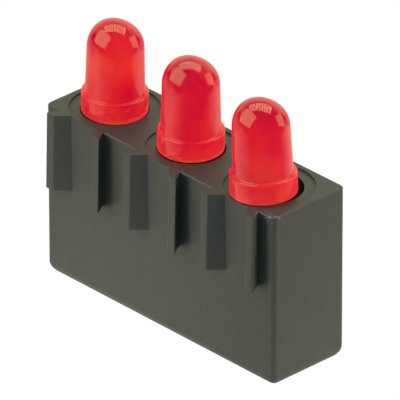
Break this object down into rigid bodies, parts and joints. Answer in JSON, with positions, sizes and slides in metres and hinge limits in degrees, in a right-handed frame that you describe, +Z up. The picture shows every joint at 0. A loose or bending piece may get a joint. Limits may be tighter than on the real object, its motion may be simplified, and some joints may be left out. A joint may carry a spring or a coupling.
{
  "type": "led indicator array",
  "caption": "Moulded block with a row of round rimmed indicator lamps seated in its top, split dovetail ribs down one long face and square leads bent out at the foot of the other.",
  "frame": {"origin": "on the flat base, midway along the row of lamps and midway between the long faces of the block, ribs not counted", "axes": "+X along the row of lamps, +Y out of the plain back face that sits against the board, -Y out of the ribbed face, +Z up the lamps from the base"},
  "size_m": [0.0282, 0.0122, 0.0251],
  "materials": {
    "housing": "dark olive-grey moulded plastic, fine satin",
    "lamp": "red diffused epoxy, glossy",
    "lead": "tinned, dull"
  },
  "bodies": {
    "root": {"housing": "housing", "lamp_1": "lamp", "lamp_2": "lamp", "lamp_3": "lamp", "anode_1": "lead", "anode_2": "lead", "anode_3": "lead", "cathode_1": "lead", "cathode_2": "lead", "cathode_3": "lead"}
  },
  "joints": []
}
